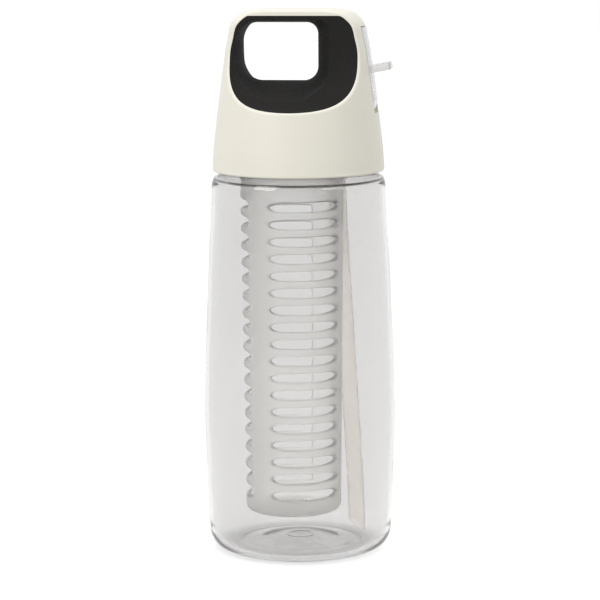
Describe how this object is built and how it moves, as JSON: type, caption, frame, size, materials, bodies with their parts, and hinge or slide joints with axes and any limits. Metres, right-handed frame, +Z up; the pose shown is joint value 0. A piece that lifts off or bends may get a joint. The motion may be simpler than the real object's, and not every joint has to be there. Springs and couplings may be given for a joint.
{
  "type": "infuser drinking bottle",
  "caption": "Round clear drinking bottle with a screw lid that ends in a carrying loop, a flip-out side spout, an inner straw and a hanging slotted infuser basket.",
  "frame": {"origin": "on the axis of the body, on the surface that the bottle stands on", "axes": "+Z up along the bottle's axis, +X towards the spout's side, -Y towards the front of the carrying loop"},
  "size_m": [0.0854, 0.0854, 0.2414],
  "materials": {
    "bottle_body": "clear, polished",
    "lid_shell": "smooth satin, cream",
    "handle_grip": "soft touch, black",
    "lid_insert": "smooth, cream",
    "seal_ring": "silicone, milky",
    "duct_cover": "smooth, pale",
    "spout_seat": "silicone, milky",
    "vent_valve": "silicone, milky",
    "flip_spout": "clear, slightly milky",
    "straw": "translucent, warm tint",
    "infuser_basket": "frosted, translucent"
  },
  "bodies": {
    "bottle": {"bottle_body": "bottle_body"},
    "seal": {"seal_ring": "seal_ring"},
    "lid": {"lid_shell": "lid_shell", "handle_grip": "handle_grip", "lid_insert": "lid_insert", "duct_cover": "duct_cover", "spout_seat": "spout_seat", "vent_valve": "vent_valve", "straw": "straw"},
    "spout": {"flip_spout": "flip_spout"},
    "infuser": {"infuser_basket": "infuser_basket"}
  },
  "joints": [
    {"name": "lid_rise", "type": "slide", "parent": "bottle", "child": "seal", "axis": [0, 0, 1], "range_m": [0, 0.006]},
    {"name": "lid_turn", "type": "hinge", "parent": "seal", "child": "lid", "pos_m": [0, 0, 0.18], "axis": [0, 0, 1], "range_deg": [0, 540]},
    {"name": "spout_flip", "type": "hinge", "parent": "lid", "child": "spout", "pos_m": [0.031, 0, 0.1996], "axis": [0, 1, 0], "range_deg": [0, 70]},
    {"name": "infuser_pull", "type": "slide", "parent": "lid", "child": "infuser", "axis": [0, 0, -1], "range_m": [0, 0.009]}
  ],
  "couplings": [
    {"joint": "lid_rise", "follows": "lid_turn", "m_per_rad": 0.00063661}
  ]
}
